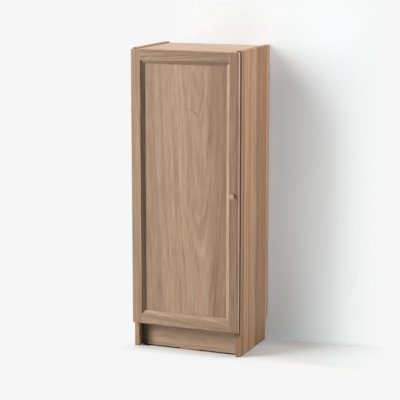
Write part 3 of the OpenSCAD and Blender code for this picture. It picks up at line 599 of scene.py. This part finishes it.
# Painted shadow of the left leg over the plinth's left end.
PLINTH_PAINTED_SHADOW = ((0.0, 0.28), (0.045, 0.22), (0.065, 0.46), (0.085, 0.68), (0.13, 0.9), (0.17, 1.0))
# Painted shade on the left stile's inner moulding, which faces away from the light.
LEFT_STILE_PAINTED_SHADE = ((0.0, 1.0), (0.73, 1.0), (0.76, 0.86), (1.0, 0.68))
# Painted highlight on the right stile's inner moulding, which faces the light.
RIGHT_STILE_PAINTED_HIGHLIGHT = ((0.0, 1.3), (0.2, 1.3), (0.27, 1.0), (1.0, 1.0))
DOOR_PANEL_TONES = (
    (0.0, 0.81), (0.12, 0.84), (0.22, 0.86), (0.32, 0.98), (0.42, 1.0), (0.52, 0.99), (0.68, 1.0),
    (0.76, 1.0), (0.80, 0.86), (0.86, 0.76), (0.92, 0.78), (1.0, 0.74))
# Painted highlight on the knob's rim and painted shade on its neck.
KNOB_PAINTED_LIGHT_AND_SHADE = ((0.0, 1.0), (0.03, 1.0), (0.06, 1.5), (0.16, 1.5), (0.25, 0.6), (0.45, 0.3), (1.0, 0.3))

steel = plated("zinc_plated_steel", (0.60, 0.60, 0.61), 0.38, 0.6, 0.6)
nickel = plated("nickel_plate", (0.66, 0.64, 0.60), 0.24, 0.25, 0.25)
dowel_wood = bare_beech("bare_beech")

finishes = {
    "left_side_panel": pine_board(
        "left_side_pine", "z", (0.23, 0.02), (1.6, -1.0), 0.3, srgb(190, 157, 129), srgb(140, 109, 84),
        ring=0.006, knot_at=(0.03, 0.0, 0.9)),
    "right_side_panel": pine_board(
        "right_side_pine", "z", (-0.26, -0.03), (-0.5, 0.6), 0.0, srgb(200, 158, 121), srgb(158, 117, 82),
        ring=0.009, wander=0.003, rings=0.3, bands=0.4, streaks=0.5, wear=0.9,
        across=("Y", SIDE_FRONT, SIDE_REAR, RIGHT_SIDE_STRIPES_AND_SHADE), warmth=0.3, drift=0.015),
    "top_panel": pine_board(
        "top_pine", "x", (0.90, 0.13), (0.8, 2.0), 0.6, srgb(212, 180, 154), srgb(164, 133, 110),
        ring=0.006, wear=0.9),
    "bottom_panel": pine_board("bottom_pine", "x", (0.02, 0.12), (1.2, 1.0), 0.2, ring=0.006),
    "plinth": pine_board(
        "plinth_pine", "x", (0.05, 0.13), (2.0, 1.4), 0.9, srgb(200, 170, 144), srgb(154, 126, 103),
        rings=0.25, figure=0.35, across=("X", -PLINTH_HALF, PLINTH_HALF, PLINTH_PAINTED_SHADOW), drift=0.0),
    "lower_shelf": pine_board("lower_shelf_pine", "x", (0.31, 0.12), (0.9, 2.2), 0.1, ring=0.006),
    "upper_shelf": pine_board("upper_shelf_pine", "x", (0.60, -0.15), (-1.0, 2.0), 1.3, ring=0.0065),
    "door_left_stile": pine_board(
        "left_stile_pine", "z", (0.30, 0.05), (1.0, 0.8), 1.9, srgb(179, 149, 124), srgb(134, 105, 83),
        ring=0.0045, rings=0.25, bands=0.3, figure=0.35,
        across=("X", -STILE_OUTER, -STILE_INNER, LEFT_STILE_PAINTED_SHADE), drift=0.0),
    "door_right_stile": pine_board(
        "right_stile_pine", "z", (-0.14, 0.02), (-0.8, 1.0), 0.7, srgb(162, 132, 109), srgb(122, 95, 77),
        ring=0.006, wear=1.0, across=("X", STILE_INNER, STILE_OUTER, RIGHT_STILE_PAINTED_HIGHLIGHT), drift=0.0,
        outer_edge=(-0.1325, -0.1312)),
    "door_top_rail": pine_board(
        "top_rail_pine", "x", (-0.95, 0.10), (7.0, 4.0), 0.4, srgb(169, 140, 117), srgb(126, 99, 80),
        ring=0.0045, figure=0.8),
    "door_bottom_rail": pine_board(
        "bottom_rail_pine", "x", (-0.02, 0.08), (5.0, -4.0), 2.1, srgb(186, 156, 132), srgb(136, 108, 88),
        ring=0.0045, figure=0.7),
    "door_panel": pine_board(
        "door_panel_pine", "z", (-0.05, 0.039), (-3.0, 0.3), 0.0, srgb(191, 161, 136), srgb(146, 117, 94),
        ring=0.0065, wander=0.007, rings=0.24, bands=0.36, figure=0.42, streaks=0.38,
        across=("X", -PANEL_HALF, PANEL_HALF, DOOR_PANEL_TONES), curl=(0.049, 0.838)),
    "back_panel": pressed_hardboard("hardboard"),
    "knob": pine_board(
        "knob_pine", "y", (0.05, 0.02), (0.0, 0.0), 0.0, srgb(206, 174, 146), srgb(170, 136, 108),
        ring=0.003, across=("Y", KNOB_FACE, KNOB_FOOT, KNOB_PAINTED_LIGHT_AND_SHADE), warmth=0.3, drift=0.0),
    "door_bumpers": moulded("soft_clear_pad", (0.70, 0.69, 0.66), 0.35, 0.2),
    "glides": moulded("grey_nylon", (0.27, 0.26, 0.25), 0.5),
    "carcass_dowels": dowel_wood,
    "door_frame_dowels": dowel_wood,
}
for name in ("upper_mounting_plate", "lower_mounting_plate", "upper_hinge_arm", "lower_hinge_arm",
             "upper_hinge_cup", "lower_hinge_cup", "hinge_pins"):
    finishes[name] = nickel
for name, part in nodes.items():
    for held in part.material_slots:
        held.material = finishes.get(name, steel)


# ---------- floor, wall, lamps and world ----------


PAPER = (0.923, 0.923, 0.923)
BLACK = (0.0, 0.0, 0.0)
WALL_GAP = 0.003


def seen_directly(b):
    """Set for what the camera sees, also in a mirror or through glass, but not for light."""
    path = b.node("ShaderNodeLightPath").outputs
    return b.greatest(path["Is Camera Ray"], path["Is Glossy Ray"], path["Is Transmission Ray"])


def flat_sheet(name, corners, finish):
    """One rectangle of the studio around the cabinet."""
    mesh = bpy.data.meshes.new(name)
    mesh.from_pydata(corners, [], [(0, 1, 2, 3)])
    mesh.materials.append(finish)
    sheet = bpy.data.objects.new(name, mesh)
    bpy.context.scene.collection.objects.link(sheet)
    return sheet


def make_floor():
    """Wide pale floor that takes the cabinet's shadow near it and is plain paper white further out.

    Painted shadow makes it dark under the plinth and in the nook beside the left leg, and grey in the
    cabinet's shadow on the right, darkest at the wall's foot.
    """
    finish, b, shader = new_finish("pale_floor")
    source = b.node("ShaderNodeTexCoord").outputs["Object"]
    x, y, _ = b.axes(source)
    seen = seen_directly(b)

    # painted shadow: the dark places under the cabinet
    inside = b.between(b.math("ABSOLUTE", x), PLINTH_HALF + 0.004, PLINTH_HALF - 0.002)
    under = b.between(y, PLINTH_FRONT - 0.006, PLINTH_FRONT + 0.002)
    nook = b.product(b.between(x, -0.140, -0.155), b.between(y, SIDE_FRONT, PLINTH_FRONT + 0.003))
    hidden = b.product(inside, b.greatest(under, nook), b.between(y, 0.02, -0.07))

    # where the floor is plain paper white
    beside = b.greatest(b.between(x, -0.10, -0.26), b.between(x, 0.38, 0.70))
    ahead = b.greatest(b.between(y, -0.08, -0.20), b.between(y, 0.25, 0.40))
    past = b.product(b.between(x, 0.30, 0.45), b.between(y, 0.17, 0.22))
    far = b.product(seen, b.greatest(past, beside, ahead), b.math("SUBTRACT", 1.0, hidden))

    # the floor's colour, with painted shadow greying it between the cabinet and the wall, darkest at the
    # wall's foot near the cabinet
    corner = b.product(b.between(x, 0.10, 0.20), b.between(y, -0.15, -0.07), b.between(y, 0.21, 0.165))
    foot = b.mix(b.between(x, 0.29, 0.44, 0.0, 0.6), (0.49, 0.51, 0.52), (0.80, 0.83, 0.85))
    grey = b.mix(b.between(y, 0.03, 0.14), (0.68, 0.71, 0.73), foot)
    plain = b.mix(b.noise(source, 3.0, 3.0), (0.82, 0.82, 0.82), (0.84, 0.84, 0.84))
    plain = b.mix(hidden, b.mix(corner, plain, grey), (0.06, 0.055, 0.05))
    # light that bounces off the floor only meets a middle grey
    plain = b.mix(seen, (0.42, 0.42, 0.42), plain)
    b.feed(shader.inputs["Base Color"], b.mix(far, plain, BLACK))
    b.feed(shader.inputs["Emission Color"], b.mix(far, BLACK, PAPER))
    shader.inputs["Emission Strength"].default_value = 1.0
    b.feed(shader.inputs["Roughness"], b.math("MULTIPLY_ADD", b.noise(source, 6.0, 3.0), 0.1, 0.8))
    shader.inputs["Specular IOR Level"].default_value = 0.0
    half = 40.0
    flat_sheet("floor", [(-half, -half, 0), (half, -half, 0), (half, half, 0), (-half, half, 0)], finish)


def make_wall():
    """White wall just behind the cabinet, which takes its shadow and casts none.

    It only shows from the front, beside and close to the cabinet, and is clear elsewhere.
    """
    finish, b, shader = new_finish("white_wall")
    source = b.node("ShaderNodeTexCoord").outputs["Object"]
    b.feed(shader.inputs["Base Color"],
           b.mix(b.noise(source, 2.0, 3.0), (0.82, 0.85, 0.87), (0.84, 0.87, 0.89)))
    b.feed(shader.inputs["Roughness"], b.math("MULTIPLY_ADD", b.noise(source, 40.0, 3.0), 0.1, 0.85))
    shader.inputs["Specular IOR Level"].default_value = 0.0
    x, _, z = b.axes(source)
    # Painted light and shade: the glow, which only the camera sees, changes across the wall to shape the
    # cabinet's shadow on it, and dims at the wall's foot near the cabinet.
    high = b.mix(b.between(x, 0.08, 0.22), (0.13, 0.15, 0.16), (0.30, 0.31, 0.32))
    near = b.mix(b.between(z, 0.88, 1.06), (0.20, 0.235, 0.255), high)
    glow = b.mix(b.between(x, 0.2, 0.44), near, (0.40, 0.42, 0.43))
    low = b.product(b.between(z, 0.45, 0.0, 0.0, 0.25), b.between(x, 0.42, 0.26))
    b.feed(shader.inputs["Emission Color"], b.mix(low, glow, BLACK))
    shader.inputs["Emission Strength"].default_value = 1.0
    slant = b.node("ShaderNodeLayerWeight")
    slant.inputs["Blend"].default_value = 0.5
    clear = b.greatest(
        b.node("ShaderNodeNewGeometry").outputs["Backfacing"],
        b.between(slant.outputs["Facing"], 0.55, 0.75),
        b.between(x, 0.36, 0.65), b.between(x, 0.1, -0.2), b.between(z, 0.92, 1.35))
    both = b.node("ShaderNodeMixShader")
    b.feed(both.inputs[0], clear)
    b.feed(both.inputs[1], shader.outputs[0])
    b.feed(both.inputs[2], b.node("ShaderNodeBsdfTransparent").outputs[0])
    end = next(n for n in finish.node_tree.nodes if n.type == "OUTPUT_MATERIAL")
    b.feed(end.inputs[0], both.outputs[0])
    half, height, y = 20, 12, cad_box[1][1] + WALL_GAP
    wall = flat_sheet("wall", [(-half, y, 0), (half, y, 0), (half, y, height), (-half, y, height)], finish)
    for kind in ("shadow", "diffuse", "glossy", "transmission"):
        setattr(wall, "visible_" + kind, False)


def lamp(name, at, aim, size, power, colour=(1.0, 1.0, 1.0), height=None):
    """Soft rectangular lamp that faces aim: size is its width, and its height too unless one is given."""
    data = bpy.data.lights.new(name, "AREA")
    data.shape = "RECTANGLE"
    data.size = size
    data.size_y = height or size
    data.energy = power
    data.color = colour
    made = bpy.data.objects.new(name, data)
    made.location = at
    made.rotation_euler = (Vector(aim) - Vector(at)).to_track_quat("-Z", "Y").to_euler()
    bpy.context.scene.collection.objects.link(made)


def make_world():
    """Faint even light on the object, and paper white behind it."""
    world = bpy.data.worlds.new("studio")
    bpy.context.scene.world = world
    world.use_nodes = True
    world.node_tree.nodes.clear()
    b = Bench(world.node_tree)
    both = b.node("ShaderNodeMixShader")
    b.feed(both.inputs[0], seen_directly(b))
    for socket, colour, strength in zip(both.inputs[1:], ((1.0, 1.0, 1.0), PAPER), (0.05, 1.0)):
        sky = b.node("ShaderNodeBackground")
        b.feed(sky.inputs["Color"], colour)
        b.feed(sky.inputs["Strength"], strength)
        b.feed(socket, sky.outputs[0])
    b.feed(b.node("ShaderNodeOutputWorld").inputs[0], both.outputs[0])


make_floor()
make_wall()
lamp("window_lamp", (-3.05, -3.35, 3.6), (0.0, 0.0, 0.6), 1.35, 170, (1.0, 0.99, 0.975), 3.0)
lamp("left_lamp", (-2.05, -1.28, 0.95), (0.0, -0.1, 0.5), 0.5, 42, (1.0, 0.985, 0.97), 1.6)
lamp("ceiling_lamp", (0.0, 0.7, 4.6), (0.0, 0.0, 0.0), 2.6, 70)
lamp("rear_lamp", (-0.5, 2.9, 0.55), (0.0, 0.1, 0.5), 0.9, 22, (1.0, 0.99, 0.98))
lamp("side_lamp", (2.0, 0.5, 1.7), (0.2, 0.0, 0.65), 0.7, 33, (1.0, 0.97, 0.93), 1.4)
make_world()
